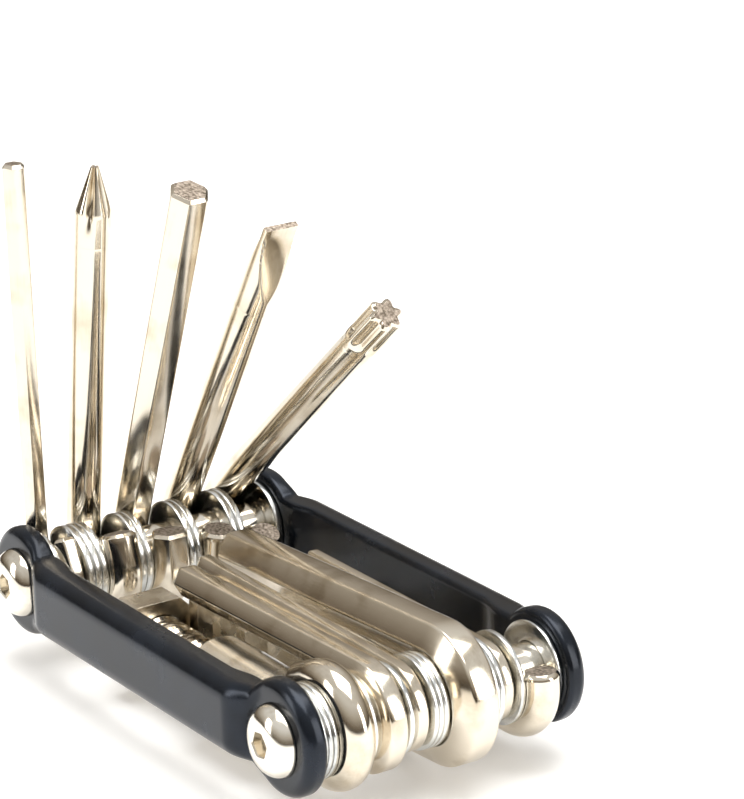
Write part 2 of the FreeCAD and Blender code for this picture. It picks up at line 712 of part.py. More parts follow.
def chain_cradle():
    """Upright wall beside the spindle with three teeth that hold the chain's rollers."""
    body = new_body("chain_tool_cradle")
    near = "(%s + %s + 0.35)" % (AXIS_Y, ref("spindle_radius"))
    far = "(%s + 3.4)" % near
    wall = new_sketch(body, "cradle_wall_sketch", "YZ_Plane")
    base = "(%s + 0.02)" % PLATE_TOP
    draw_polygon(wall, [
        (far + " - 1.5", base),
        (far, base),
        (far, AXIS_Z + " + 2.2"),
        (far + " - 1.5", AXIS_Z + " + 2.2"),
    ])
    wall.setExpression("AttachmentOffset.Base.z", CRADLE)
    feature(body, "Pad", "cradle_wall", wall,
            Length="=%s - 0.4 - %s" % (ref("hood_start"), CRADLE))
    doc.recompute()
    before = body.Shape.Volume
    teeth = new_sketch(body, "cradle_teeth_sketch", "XZ_Plane")
    for number in range(3):
        start = "(%s + %d * %s)" % (CRADLE, number, TOOTH_STEP)
        end = "(%s + 2.2)" % start
        draw_polygon(teeth, [
            (start, AXIS_Z + " - 1"),
            (end, AXIS_Z + " - 1"),
            (end, AXIS_Z + " + 5.4"),
            (start, AXIS_Z + " + 5.4"),
        ], "tooth%d_" % number)
    teeth.setExpression("AttachmentOffset.Base.z", "-" + far)
    rack = feature(body, "Pad", "cradle_teeth", teeth, Length="=3.4")
    rack.AllowMultiFace = True
    changed_volume(body, before, "cradle teeth", True)
    return body


def chain_plug():
    """Closed end of the hood: a turned disc that holds the arm."""
    body = new_body("chain_tool_plug")
    sketch = new_sketch(body, "plug_sketch", "YZ_Plane")
    draw_circle(sketch, AXIS_Y, AXIS_Z,
                "%s - %s - 0.02" % (HOOD_RADIUS, ref("sheet_wall")), "plug")
    sketch.setExpression("AttachmentOffset.Base.z", "%s - %s" % (HOOD_END, ref("plug_length")))
    feature(body, "Pad", "plug_pad", sketch, Length="=%s + 0.3" % ref("plug_length"))
    doc.recompute()
    before = body.Shape.Volume
    bore_sketch = new_sketch(body, "plug_bore_sketch", "YZ_Plane")
    draw_circle(bore_sketch, "%r" % tool_y["chain_tool_arm"], "-" + level_arm,
                ref("arm_diameter") + " / 2 + 0.01", "arm")
    feature(body, "Pocket", "plug_bore", bore_sketch, Type="ThroughAll", Midplane=True)
    changed_volume(body, before, "plug bore", False)
    return body


def chain_spindle():
    """Threaded spindle: ring grooves stand for the thread, with a hexagon-ended drive nub."""
    body = new_body("chain_tool_spindle")
    sketch = new_sketch(body, "spindle_profile", "XZ_Plane")
    thread = ref("spindle_radius")
    tip = SPINDLE_TIP
    start = "-(%s + 0.6)" % FOOT
    draw_polygon(sketch, [
        (start + " - 4.0", "0"),
        (start + " - 4.0", "0.9"),
        (start + " - 3.2", "1.9"),
        (start + " - 1.4", "1.9"),
        (start + " - 0.9", "1.3"),
        (start, "1.3"),
        (start, thread + " - 0.7"),
        (start + " + 0.7", thread),
        (tip + " - 0.7", thread),
        (tip, thread + " - 0.7"),
        (tip, "0"),
    ])
    turned = feature(body, "Revolution", "spindle_turned", sketch, Angle=360.0)
    turned.ReferenceAxis = (sketch, ["H_Axis"])
    doc.recompute()
    before = body.Shape.Volume
    ring = new_sketch(body, "thread_sketch", "XZ_Plane")
    root = start + " + 1.2"
    half_pitch = "%s * 0.4" % ref("spindle_pitch")
    depth = "%s * 0.5" % ref("spindle_pitch")
    draw_polygon(ring, [
        (root, "%s - %s" % (thread, depth)),
        ("%s + %s" % (root, half_pitch), thread + " + 0.1"),
        ("%s - %s" % (root, half_pitch), thread + " + 0.1"),
    ])
    groove = feature(body, "Groove", "thread_ring", ring, Angle=360.0)
    groove.ReferenceAxis = (ring, ["H_Axis"])
    changed_volume(body, before, "thread ring", False)
    pattern = body.newObject("PartDesign::LinearPattern", "thread_rings")
    pattern.Originals = [groove]
    pattern.Direction = (ring, ["H_Axis"])
    count = int((evaluate(FOOT) + evaluate(SPINDLE_TIP) - 1.0) / size("spindle_pitch"))
    pattern.Occurrences = count
    pattern.setExpression("Length", "%s * %d" % (ref("spindle_pitch"), count - 1))
    body.Tip = pattern
    doc.recompute()
    return body


def chain_pin():
    """Push pin at the spindle's tip."""
    body = new_body("chain_tool_pin")
    sketch = new_sketch(body, "pin_profile", "XZ_Plane")
    start = "(%s + 0.05)" % SPINDLE_TIP
    end = "(%s + %s)" % (start, PIN_LENGTH)
    draw_polygon(sketch, [
        (start, "0"),
        (start, "2.6"),
        (start + " + 0.8", "2.6"),
        (start + " + 1.2", ref("pin_radius")),
        (end + " - 0.3", ref("pin_radius")),
        (end, ref("pin_radius") + " - 0.3"),
        (end, "0"),
    ])
    turned = feature(body, "Revolution", "pin_turned", sketch, Angle=360.0)
    turned.ReferenceAxis = (sketch, ["H_Axis"])
    return body


frame = chain_frame()
block = chain_block()
cradle = chain_cradle()
plug = chain_plug()
spindle = chain_spindle()
pin = chain_pin()
doc.recompute()

# ---------------------------------------------------------------- places
# Angle of each shaft above +X at pivot 1, and tilt above -X at pivot 2.
OPEN_ANGLE = {"hex_key_3": 90.0, "phillips_driver": 80.0, "hex_key_5": 68.0,
              "flat_driver": 57.0, "star_driver": 40.0}
FOLDED_TILT = {"hex_key_4": -1.5, "hex_key_2_5": 0.0, "hex_key_6": -3.0, "hex_key_2": 0.0}

first_pivot = {"hex_key_3": key_3, "phillips_driver": phillips, "hex_key_5": key_5,
               "flat_driver": flat_driver, "star_driver": star}
for name, body in first_pivot.items():
    body.Placement = FreeCAD.Placement(
        FreeCAD.Vector(-half_spacing, tool_y[name], 0), rotation_y(-OPEN_ANGLE[name]))

second_pivot = {"hex_key_4": key_4, "hex_key_2_5": key_25, "hex_key_6": key_6, "hex_key_2": key_2}
for name, body in second_pivot.items():
    turn = rotation_z(180).multiply(rotation_y(-FOLDED_TILT[name]))
    body.Placement = FreeCAD.Placement(FreeCAD.Vector(half_spacing, tool_y[name], 0), turn)
adapter.Placement = key_6.Placement

for name, body in (("plain_rod", rod), ("chain_tool_arm", arm)):
    body.Placement = FreeCAD.Placement(
        FreeCAD.Vector(half_spacing, tool_y[name], 0), rotation_y(180))

spindle_place = FreeCAD.Placement(
    FreeCAD.Vector(0, evaluate(AXIS_Y), evaluate(AXIS_Z)), FreeCAD.Rotation())
spindle.Placement = spindle_place
pin.Placement = spindle_place
doc.recompute()

# ---------------------------------------------------------------- checks and export
NODES = [plate_a, plate_b, sleeve_1, sleeve_2, screws, washers_1, washers_2,
         key_3, phillips, key_5, flat_driver, star,
         key_4, key_25, key_6, adapter, key_2, rod,
         arm, frame, block, cradle, plug, spindle, pin]

for item in doc.Objects:
    if "Invalid" in item.State or "Error" in item.State:
        raise RuntimeError("%s did not build: %s" % (item.Name, item.State))
for node in NODES:
    if node.Shape.isNull() or not node.Shape.isValid():
        raise RuntimeError("%s has no valid shape" % node.Label)

os.makedirs("parts", exist_ok=True)
for node in NODES:
    node.Shape.exportStep("parts/%s.step" % node.Label)
    box = node.Shape.BoundBox
    print("%-20s solids %2d  volume %8.1f  x %6.1f %6.1f  y %6.1f %6.1f  z %6.1f %6.1f" % (
        node.Label, len(node.Shape.Solids), node.Shape.Volume,
        box.XMin, box.XMax, box.YMin, box.YMax, box.ZMin, box.ZMax))
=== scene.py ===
# %% [markdown]
# # A folding bicycle multi-tool
# Keys and drivers are bent round two pivots between two dark side plates, and a small
# chain tool folds away beside them. We load the solid model first and note its size,
# because everything we add must stay inside it.

# %% Load the solid model
import math

import bmesh
import bpy
from mathutils import Matrix, Vector


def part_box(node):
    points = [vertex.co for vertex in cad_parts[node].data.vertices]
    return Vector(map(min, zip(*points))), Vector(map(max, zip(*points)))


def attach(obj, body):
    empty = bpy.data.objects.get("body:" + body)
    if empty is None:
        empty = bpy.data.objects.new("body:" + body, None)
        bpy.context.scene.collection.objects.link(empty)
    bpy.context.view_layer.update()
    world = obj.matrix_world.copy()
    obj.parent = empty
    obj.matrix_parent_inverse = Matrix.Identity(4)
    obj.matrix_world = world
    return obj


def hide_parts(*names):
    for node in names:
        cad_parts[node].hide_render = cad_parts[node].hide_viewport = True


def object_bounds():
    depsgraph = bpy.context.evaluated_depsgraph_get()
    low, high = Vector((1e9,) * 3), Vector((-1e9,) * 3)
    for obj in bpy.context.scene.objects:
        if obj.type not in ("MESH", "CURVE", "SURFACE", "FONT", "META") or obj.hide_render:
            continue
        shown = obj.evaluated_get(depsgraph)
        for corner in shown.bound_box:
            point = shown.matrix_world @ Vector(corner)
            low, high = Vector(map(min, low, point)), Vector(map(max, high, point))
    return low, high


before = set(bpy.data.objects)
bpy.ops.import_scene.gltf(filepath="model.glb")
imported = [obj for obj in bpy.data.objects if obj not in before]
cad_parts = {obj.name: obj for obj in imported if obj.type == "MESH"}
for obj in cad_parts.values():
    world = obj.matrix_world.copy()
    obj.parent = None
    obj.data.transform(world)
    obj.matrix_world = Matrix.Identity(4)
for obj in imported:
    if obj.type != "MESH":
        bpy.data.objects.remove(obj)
cad_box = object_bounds()
print("solid model box", cad_box)

MM = 0.001
PIVOT_X = 33.5
SLEEVE = 3.55
SCREW_RISE = 2.5
SEAT_Y = 21.2
SPINDLE_RADIUS = 4.0
THREAD_PITCH = 1.0
FACET_ANGLE = math.radians(33)


def centre_y(node):
    """Middle of a solid-model node across the tool, in millimetres."""
    low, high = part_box(node)
    return (low.y + high.y) / 2 / MM


# %% [markdown]
# ## Node and colour helpers
# Colours are chosen as they look on a screen, so one function turns them into the linear
# values that light is worked out in. Another small function adds a node with its settings
# and links, which keeps every material readable.

# %% Helpers for node trees
def linear(hex_colour):
    """Screen colour, such as c8b99f, as linear red, green, blue and alpha."""
    parts = [int(hex_colour[i:i + 2], 16) / 255 for i in (0, 2, 4)]
    return tuple(c / 12.92 if c <= 0.04045 else ((c + 0.055) / 1.055) ** 2.4
                 for c in parts) + (1.0,)


def add(tree, kind, inputs=None, **settings):
    """Add a node; an input given as a socket is linked, any other value is set."""
    node = tree.nodes.new(kind)
    for key, value in settings.items():
        setattr(node, key, value)
    for key, value in (inputs or {}).items():
        if isinstance(value, bpy.types.NodeSocket):
            tree.links.new(value, node.inputs[key])
        else:
            node.inputs[key].default_value = value
    return node


def math_node(tree, operation, a, b=None):
    """Result of an operation on one value, or on two."""
    inputs = {0: a} if b is None else {0: a, 1: b}
    return add(tree, "ShaderNodeMath", inputs, operation=operation).outputs[0]


def ramp(tree, factor, stops):
    """Colour ramp with stops given as (position, hex colour)."""
    node = add(tree, "ShaderNodeValToRGB", {0: factor})
    elements = node.color_ramp.elements
    elements[0].position, elements[0].color = stops[0][0], linear(stops[0][1])
    elements[1].position, elements[1].color = stops[-1][0], linear(stops[-1][1])
    for position, colour in stops[1:-1]:
        elements.new(position).color = linear(colour)
    return node.outputs["Color"]


def spread(tree, factor, low, high):
    """Noise value carried on to the range low to high."""
    return add(tree, "ShaderNodeMapRange",
               {"Value": factor, "From Min": 0.3, "From Max": 0.7,
                "To Min": low, "To Max": high}).outputs["Result"]


# %% [markdown]
# ## Metal finishes
# Bright tool steel here is nickel plated: it mirrors the room, warmly, and the grinding
# along each bar stretches the highlights. We stretch a fine noise along the bar for that
# grain, add a slow one for uneven plating, and round the edges with a bevelled normal so
# that they catch the light as real edges do.

# %% Metal material
# Noise scales are repeats to the metre: a cloud is about 7 mm wide, a pit about 0.4 mm.
CLOUD_SCALE, PIT_SCALE = 150.0, 2600.0
GRAIN_SHARE, CLOUD_SHARE, PIT_SHARE = 0.14, 0.86, 0.4
SAWN_ROUGH = 0.55
SAWN_FACING, SAWN_MARGIN = 0.96, 0.12


def metal(name, tint, dark, rough, turn=0.0, grain=(0.06, 1.6, 1.6), grain_depth=0.004,
          edge=0.12, cuts=()):
    """Metal with lengthwise grain. turn is the bar's angle in degrees about Y.

    cuts are sawn end faces: (pivot x, pivot z, normal angle, distance), millimetres.
    """
    material = bpy.data.materials.new(name)
    material.use_nodes = True
    tree = material.node_tree
    shader = tree.nodes["Principled BSDF"]
    place = add(tree, "ShaderNodeTexCoord").outputs["Object"]
    turned = add(tree, "ShaderNodeVectorRotate",
                 {"Vector": place, "Axis": (0, 1, 0), "Angle": math.radians(turn)},
                 rotation_type="AXIS_ANGLE").outputs[0]
    scaled = add(tree, "ShaderNodeVectorMath",
                 {0: turned, 1: tuple(g * 1000 for g in grain)},
                 operation="MULTIPLY").outputs[0]
    lines = add(tree, "ShaderNodeTexNoise",
                {"Vector": scaled, "Scale": 2.2, "Detail": 4.0, "Roughness": 0.62})
    cloud = add(tree, "ShaderNodeTexNoise",
                {"Vector": place, "Scale": CLOUD_SCALE, "Detail": 3.0, "Roughness": 0.5})
    pits = add(tree, "ShaderNodeTexNoise",
               {"Vector": place, "Scale": PIT_SCALE, "Detail": 2.0, "Roughness": 0.5})
    mixed = math_node(tree, "ADD",
                      math_node(tree, "MULTIPLY", lines.outputs["Fac"], GRAIN_SHARE),
                      math_node(tree, "MULTIPLY", cloud.outputs["Fac"], CLOUD_SHARE))
    colour = ramp(tree, mixed, [(0.34, dark), (0.5, tint), (0.72, tint)])
    roughness = spread(tree, mixed, rough * 0.75, rough * 1.35)
    height = math_node(tree, "ADD", lines.outputs["Fac"],
                       math_node(tree, "MULTIPLY", pits.outputs["Fac"], PIT_SHARE))
    for cut in cuts:
        mask = cut_mask(tree, place, *cut)
        sawn = ramp(tree, pits.outputs["Fac"], [(0.3, "5b5145"), (0.5, "93877a"),
                                                (0.7, "b9ad9f")])
        colour = add(tree, "ShaderNodeMix", {0: mask, 6: colour, 7: sawn},
                     data_type="RGBA").outputs[2]
        roughness = add(tree, "ShaderNodeMix", {0: mask, 2: roughness, 3: SAWN_ROUGH},
                        data_type="FLOAT").outputs[0]
    rounded = add(tree, "ShaderNodeBevel", {"Radius": edge * MM}, samples=6).outputs[0]
    bump = add(tree, "ShaderNodeBump",
               {"Height": height, "Distance": grain_depth * MM, "Strength": 1.0,
                "Normal": rounded}).outputs[0]
    tree.links.new(colour, shader.inputs["Base Color"])
    tree.links.new(roughness, shader.inputs["Roughness"])
    tree.links.new(bump, shader.inputs["Normal"])
    shader.inputs["Metallic"].default_value = 1.0
    return material


def cut_mask(tree, place, pivot_x, pivot_z, angle, distance):
    """1 on the flat end face whose outward normal stands at angle above +X."""
    a = math.radians(angle)
    normal = (math.cos(a), 0.0, math.sin(a))
    facing = add(tree, "ShaderNodeVectorMath",
                 {0: add(tree, "ShaderNodeNewGeometry").outputs["Normal"], 1: normal},
                 operation="DOT_PRODUCT").outputs["Value"]
    offset = add(tree, "ShaderNodeVectorMath",
                 {0: place, 1: (pivot_x * MM, 0, pivot_z * MM)},
                 operation="SUBTRACT").outputs[0]
    along = add(tree, "ShaderNodeVectorMath", {0: offset, 1: normal},
                operation="DOT_PRODUCT").outputs["Value"]
    is_facing = math_node(tree, "GREATER_THAN", facing, SAWN_FACING)
    is_at_end = math_node(tree, "GREATER_THAN", along, (distance - SAWN_MARGIN) * MM)
    return math_node(tree, "MULTIPLY", is_facing, is_at_end)


# %% [markdown]
# ## Dark side plates
# The plates are aluminium with a slate-blue anodised skin. The skin is not a mirror: fine
# blasting under it scatters the light. A pale painted highlight runs along the edges, its
# strength taken from how far the bevelled normal leans away from the true one.

# %% Anodised material
# Blasting is about 0.3 mm from dent to dent, and the dye clouds over about 8 mm.
BLAST_SCALE, DYE_SCALE = 3200.0, 120.0
BLAST_DEPTH, PLATE_EDGE, MOST_EDGE_HIGHLIGHT = 0.006, 0.25, 0.38


def anodised():
    """Blasted and dyed aluminium, with a painted highlight in pale colour along its edges."""
    material = bpy.data.materials.new("anodised_plate")
    material.use_nodes = True
    tree = material.node_tree
    shader = tree.nodes["Principled BSDF"]
    place = add(tree, "ShaderNodeTexCoord").outputs["Object"]
    blast = add(tree, "ShaderNodeTexNoise",
                {"Vector": place, "Scale": BLAST_SCALE, "Detail": 3.0, "Roughness": 0.6})
    cloud = add(tree, "ShaderNodeTexNoise",
                {"Vector": place, "Scale": DYE_SCALE, "Detail": 4.0, "Roughness": 0.55})
    base = ramp(tree, cloud.outputs["Fac"],
                [(0.3, "0c1017"), (0.5, "121821"), (0.72, "1b222d")])
    true_normal = add(tree, "ShaderNodeNewGeometry").outputs["Normal"]
    rounded = add(tree, "ShaderNodeBevel", {"Radius": PLATE_EDGE * MM},
                  samples=6).outputs[0]
    lean = add(tree, "ShaderNodeVectorMath", {0: true_normal, 1: rounded},
               operation="DOT_PRODUCT").outputs["Value"]
    # Painted highlight: pale colour 8e9bab mixed in along every edge, where the bevelled
    # normal leans away from the true one, patchy with the dye cloud.
    edge_highlight = add(tree, "ShaderNodeMapRange",
               {"Value": lean, "From Min": 0.99, "From Max": 0.86, "To Min": 0.0,
                "To Max": MOST_EDGE_HIGHLIGHT}).outputs["Result"]
    edge_highlight = math_node(tree, "MULTIPLY", edge_highlight, spread(tree, cloud.outputs["Fac"], 0.4, 1.0))
    colour = add(tree, "ShaderNodeMix", {0: edge_highlight, 6: base, 7: linear("8e9bab")},
                 data_type="RGBA").outputs[2]
    bump = add(tree, "ShaderNodeBump",
               {"Height": blast.outputs["Fac"], "Distance": BLAST_DEPTH * MM, "Strength": 1.0,
                "Normal": rounded}).outputs[0]
    tree.links.new(colour, shader.inputs["Base Color"])
    tree.links.new(spread(tree, cloud.outputs["Fac"], 0.2, 0.29), shader.inputs["Roughness"])
    tree.links.new(bump, shader.inputs["Normal"])
    shader.inputs["Metallic"].default_value = 0.55
    return material


NICKEL, NICKEL_DARK = "dcd3c3", "c4b8a4"
plate_finish = anodised()
# Zinc is greyer and colder than nickel. The hardware is polished, so its reflections are
# sharp, and the satin sheet is brushed before plating, so its highlights spread.
zinc = metal("zinc_washer", "e3e4e2", "aeb0b0", 0.2, grain=(1.5, 1.5, 1.5))
hardware = metal("nickel_hardware", "ebe5d9", "cbc1b0", 0.13, grain=(0.9, 0.9, 0.9))
satin = metal("satin_nickel", "e2dacb", "bdb19d", 0.25, grain=(0.12, 1.4, 1.4))
print("finishes", [m.name for m in (plate_finish, zinc, hardware, satin)])


def assign(obj, material):
    """Give an object one material in place of those it has."""
    obj.data.materials.clear()
    obj.data.materials.append(material)
    return obj


# %% [markdown]
# ## Rods and keys, bent by rule
# Every key is one bar with the same shape: a short stub, a loop round the pivot and a long
# shaft. The place of any point along the bar follows from its distance alone, so a Geometry
# Nodes tree can bend a straight line into the bar and sweep a hexagon or a circle along it.

# %% Geometry Nodes helpers
def new_tree(name, sizes):
    """Geometry Nodes tree with one named input for each size and a material input."""
    tree = bpy.data.node_groups.new(name, "GeometryNodeTree")
    ident = {}
    tree.interface.new_socket("Geometry", in_out="INPUT", socket_type="NodeSocketGeometry")
    for label, kind in sizes:
        socket = tree.interface.new_socket(label, in_out="INPUT", socket_type=kind)
        ident[label] = socket.identifier
    socket = tree.interface.new_socket("Finish", in_out="INPUT",
                                       socket_type="NodeSocketMaterial")
    ident["Finish"] = socket.identifier
    tree.interface.new_socket("Geometry", in_out="OUTPUT", socket_type="NodeSocketGeometry")
    start = tree.nodes.new("NodeGroupInput")
    end = tree.nodes.new("NodeGroupOutput")
    return tree, ident, start, end


def close_tree(tree, geometry, start, end):
    """End the tree: make instances real, then set the finish."""
    real = add(tree, "GeometryNodeRealizeInstances", {"Geometry": geometry})
    done = add(tree, "GeometryNodeSetMaterial",
               {"Geometry": real.outputs[0], "Material": start.outputs["Finish"]})
    tree.links.new(done.outputs[0], end.inputs["Geometry"])


def grow(name, source, tree, ident, values, material, place=Matrix.Identity(4)):
    """Run a tree on a mesh and keep the result as a plain mesh object in its final place."""
    host = bpy.data.objects.new(name + "_host", source)
    bpy.context.scene.collection.objects.link(host)
    modifier = host.modifiers.new("shape", "NODES")
    modifier.node_group = tree
    for label, value in values.items():
        modifier[ident[label]] = value
    modifier[ident["Finish"]] = material
    bpy.context.view_layer.update()
    graph = bpy.context.evaluated_depsgraph_get()
    mesh = bpy.data.meshes.new_from_object(host.evaluated_get(graph), depsgraph=graph)
    host.modifiers.clear()
    bpy.data.objects.remove(host)
    mesh.name = name
    mesh.transform(place)
    return finish_mesh(name, mesh, material)


def finish_mesh(name, mesh, material):
    """Merge doubles, turn faces outward and shade smooth except over sharp edges."""
    work = bmesh.new()
    work.from_mesh(mesh)
    bmesh.ops.remove_doubles(work, verts=work.verts, dist=1e-7)
    bmesh.ops.recalc_face_normals(work, faces=work.faces)
    work.to_mesh(mesh)
    work.free()
    mesh.polygons.foreach_set("use_smooth", [True] * len(mesh.polygons))
    mesh.set_sharp_from_angle(angle=FACET_ANGLE)
    obj = bpy.data.objects.new(name, mesh)
    bpy.context.scene.collection.objects.link(obj)
    assign(obj, material)
    print(name, "faces", len(mesh.polygons))
    return obj


def single_point(name):
    """Mesh of one point, for a tree that makes all its geometry itself."""
    mesh = bpy.data.meshes.new(name)
    mesh.from_pydata([(0, 0, 0)], [], [])
    return mesh


def stack_faces(rings, around):
    """Faces that join a stack of rings of points and close both ends of it."""
    faces = []
    for r in range(rings - 1):
        for i in range(around):
            j = (i + 1) % around
            faces.append((r * around + i, r * around + j, (r + 1) * around + j,
                          (r + 1) * around + i))
    last = (rings - 1) * around
    faces.append(tuple(range(around)))
    faces.append(tuple(last + i for i in range(around)))
    return faces


# %% The bent-bar tree
def bar_tree():
    """A line bent into stub, loop and shaft, with a section swept along it."""
    tree, ident, start, end = new_tree("bent_bar", [
        ("Bar radius", "NodeSocketFloat"), ("Sides", "NodeSocketInt"),
        ("Corner round", "NodeSocketFloat"), ("Bend radius", "NodeSocketFloat"),
        ("Wrap", "NodeSocketFloat"), ("Stub", "NodeSocketFloat"),
        ("Shaft", "NodeSocketFloat"), ("Chamfer", "NodeSocketFloat"),
        ("Points", "NodeSocketInt")])
    out = start.outputs

    def calc(operation, a, b=None):
        return math_node(tree, operation, a, b)

    bend = calc("MULTIPLY", out["Bend radius"], out["Wrap"])
    total = calc("ADD", calc("ADD", out["Stub"], bend), out["Shaft"])
    line = add(tree, "GeometryNodeCurvePrimitiveLine", {"End": (1, 0, 0)})
    fine = add(tree, "GeometryNodeResampleCurve",
               {"Curve": line.outputs[0], "Count": out["Points"]})
    factor = add(tree, "GeometryNodeSplineParameter").outputs["Factor"]
    run = calc("MULTIPLY", factor, total)
    past_stub = calc("SUBTRACT", run, out["Stub"])
    swept = calc("MINIMUM", calc("MAXIMUM", calc("DIVIDE", past_stub, out["Bend radius"]),
                                 0.0), out["Wrap"])
    angle = calc("SUBTRACT", out["Wrap"], swept)
    over = calc("SUBTRACT", past_stub, calc("MULTIPLY", out["Bend radius"], swept))
    cos, sin = calc("COSINE", angle), calc("SINE", angle)
    x = calc("SUBTRACT", calc("MULTIPLY", cos, over),
             calc("MULTIPLY", sin, out["Bend radius"]))
    z = calc("ADD", calc("MULTIPLY", sin, over),
             calc("MULTIPLY", cos, out["Bend radius"]))
    spot = add(tree, "ShaderNodeCombineXYZ", {"X": x, "Z": z}).outputs[0]
    bent = add(tree, "GeometryNodeSetPosition",
               {"Geometry": fine.outputs[0], "Position": spot})
    from_end = calc("MINIMUM", run, calc("SUBTRACT", total, run))
    short = calc("MAXIMUM", calc("SUBTRACT", out["Chamfer"], from_end), 0.0)
    width = calc("SUBTRACT", 1.0, calc("DIVIDE", short, out["Bar radius"]))
    ring = add(tree, "GeometryNodeCurvePrimitiveCircle",
               {"Resolution": out["Sides"], "Radius": out["Bar radius"]}, mode="RADIUS")
    soft = add(tree, "GeometryNodeFilletCurve",
               {"Curve": ring.outputs[0], "Radius": out["Corner round"], "Count": 3},
               mode="POLY")
    swept_bar = add(tree, "GeometryNodeCurveToMesh",
                    {"Curve": bent.outputs[0], "Profile Curve": soft.outputs[0],
                     "Scale": width, "Fill Caps": True})
    close_tree(tree, swept_bar.outputs[0], start, end)
    return tree, ident


BAR, BAR_IDENT = bar_tree()
print("bent-bar inputs", list(BAR_IDENT))


def turned_y(degrees):
    """Turn that lifts +X toward +Z."""
    return Matrix.Rotation(math.radians(-degrees), 4, "Y")


# %% [markdown]
# ## Placing the bars
# The bars of pivot 1 stand open at different angles and those of pivot 2 lie folded, so
# each one is bent in its own space and turned to its place. The finish gets the same
# angle, which keeps the grain running along the bar and not across it.

# %% Bars of both pivots
STUB, WRAP = 4.2, 205.0
CHAMFER, ROUND_SIDES = 0.45, 36
BAR_POINTS, ROD_POINTS = 190, 180
FIRST, OVER, UNDER = -1, 1, 2
# The bar is on the first pivot, or on the second with its shaft over or under the pivot.
# node: (body, hexagon flats or 0 for round, diameter, shaft, stub, wrap, pivot, angle)
BARS = {
    "hex_key_3": ("key_3", 3.0, 3.0, 57.5, STUB, WRAP, FIRST, 90.0),
    "hex_key_5": ("key_5", 5.0, 5.0, 57.5, STUB, WRAP, FIRST, 68.0),
    "hex_key_4": ("key_4", 4.0, 4.0, 44.0, STUB, WRAP, OVER, -1.5),
    "hex_key_2_5": ("key_2_5", 2.5, 2.5, 47.0, STUB, WRAP, OVER, 0.0),
    "hex_key_6": ("key_6", 6.0, 6.0, 50.0, 22.0, 180.0, OVER, -3.0),
    "hex_key_2": ("key_2", 2.0, 2.0, 41.0, STUB, WRAP, OVER, 0.0),
    "plain_rod": ("rod", 0, 5.0, 45.0, 1.6, 95.0, UNDER, 0.0),
    "chain_tool_arm": ("chain_tool", 0, 5.0, 19.0, STUB, WRAP, UNDER, 0.0),
}


def bar_matrix(node, pivot, angle):
    """Place of a bar whose own pivot is at the origin and whose shaft runs along +X."""
    y = centre_y(node)
    if pivot == FIRST:
        return Matrix.Translation((-PIVOT_X * MM, y * MM, 0)) @ turned_y(angle)
    at_pivot = Matrix.Translation((PIVOT_X * MM, y * MM, 0))
    if pivot == UNDER:
        return at_pivot @ turned_y(180)
    return at_pivot @ Matrix.Rotation(math.pi, 4, "Z") @ turned_y(angle)


def world_angle(pivot, degrees):
    """Direction in the bar's own XZ plane, as an angle above +X of the object."""
    if pivot == OVER:
        return 180.0 - degrees
    return degrees + (180.0 if pivot == UNDER else 0.0)


for node, (body, flats, diameter, shaft, stub, wrap, pivot, angle) in BARS.items():
    lean = 0.0 if pivot == UNDER else angle
    shaft_way = world_angle(pivot, lean)
    stub_way = world_angle(pivot, lean + wrap + 180.0)
    pivot_x = -PIVOT_X if pivot == FIRST else PIVOT_X
    finish = metal(node + "_nickel", NICKEL, NICKEL_DARK, 0.15 if flats else 0.12,
                   turn=shaft_way, edge=0.05, grain_depth=0.0022 if flats else 0.0014,
                   cuts=((pivot_x, 0.0, shaft_way, shaft),
                         (pivot_x, 0.0, stub_way, stub)))
    radius = flats / math.sqrt(3) if flats else diameter / 2
    values = {"Bar radius": radius * MM, "Sides": 6 if flats else ROUND_SIDES,
              "Corner round": (0.09 * diameter if flats else 0.0) * MM,
              "Bend radius": (SLEEVE + diameter / 2) * MM, "Wrap": math.radians(wrap),
              "Stub": stub * MM, "Shaft": shaft * MM, "Chamfer": CHAMFER * MM,
              "Points": BAR_POINTS}
    piece = grow(node + "_bar", single_point(node), BAR, BAR_IDENT, values, finish,
                 bar_matrix(node, pivot, angle))
    corners = [Vector(c) for c in piece.bound_box]
    low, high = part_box(node)
    miss = max(max(low[i] - min(c[i] for c in corners), max(c[i] for c in corners) - high[i])
               for i in range(3))
    print(node, "reaches past its solid by %.3f mm" % (miss / MM))
    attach(piece, body)
    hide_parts(node)

# %% [markdown]
# ## Driver tips
# The cross-head, slotted and six-lobed tips are ground from the round rod. Each is a stack
# of rings whose radius follows a rule of the place along the tip and the angle round it,
# so the flutes can run out softly, as a grinding wheel leaves them.

# %% Rules for the three tips
ROD = 2.5
REACH = 57.5
CROSS_POINT, CROSS_CONE = 0.55, 6.4
CROSS_DEPTH, CROSS_LENGTH, CROSS_FADE = 0.62, 10.0, 6.5
CROSS_EDGE, CROSS_WIDTH = 0.12, 0.62
BLADE_HALF, BLADE_SPREAD, BLADE_FLAT, BLADE_FADE = 0.45, 2.1, 1.0, 12.5
STAR_DEPTH, STAR_LENGTH, STAR_FADE = 0.27, 8.0, 1.6
STAR_CHAMFER, STAR_CHAMFER_LENGTH = 0.45, 0.5
TIP_AROUND, TIP_ALONG, TIP_CROWDING = 96, 56, 1.25


def soft_step(value):
    """0 to 1 with a level start and end."""
    value = min(max(value, 0.0), 1.0)
    return value * value * (3 - 2 * value)


def cross_radius(left, angle):
    """Cross-head tip; left is the distance from the point, in millimetres."""
    cone = CROSS_POINT + (ROD - CROSS_POINT) * min(left / CROSS_CONE, 1.0)
    flute = soft_step((abs(math.cos(2 * angle)) - CROSS_EDGE) / CROSS_WIDTH)
    depth = CROSS_DEPTH * soft_step((CROSS_LENGTH - left) / CROSS_FADE)
    return cone * (1 - depth * (1 - flute))


def blade_radius(left, angle):
    """Slotted tip: the rod cut by two faces that close to a thin blade."""
    half = BLADE_HALF + BLADE_SPREAD * soft_step((left - BLADE_FLAT) / BLADE_FADE)
    lift = abs(math.sin(angle))
    return ROD if lift * ROD <= half else half / lift


